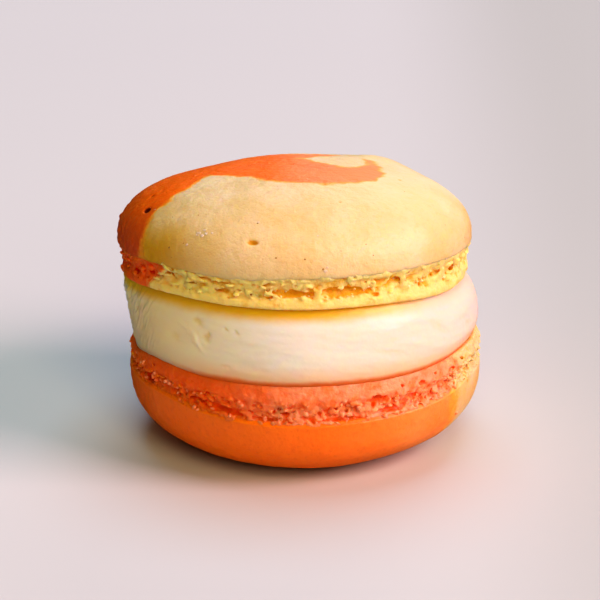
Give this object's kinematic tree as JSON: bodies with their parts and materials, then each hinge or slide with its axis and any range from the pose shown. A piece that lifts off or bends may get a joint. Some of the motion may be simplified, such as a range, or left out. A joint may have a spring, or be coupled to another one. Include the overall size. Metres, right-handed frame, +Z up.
{
  "type": "french macaron",
  "caption": "Sandwich biscuit of domed almond meringue shells with ruffled feet round a thick buttercream filling, two-tone yellow and orange",
  "frame": {"origin": "middle of the underside of the whole macaron's box, on the surface that it stands on", "axes": "+Z up; the side where the filling is thickest faces -Y; +X is to the right seen from that side"},
  "size_m": [0.0472, 0.0462, 0.0365],
  "materials": {
    "yellow_shell": "dry matte baked skin with a satin sheen and an orange swirl",
    "buttercream": "smooth soft satin cream",
    "orange_shell": "dry matte baked skin with a satin sheen"
  },
  "bodies": {
    "root": {"top_shell": "yellow_shell", "filling": "buttercream", "bottom_shell": "orange_shell"}
  },
  "joints": []
}
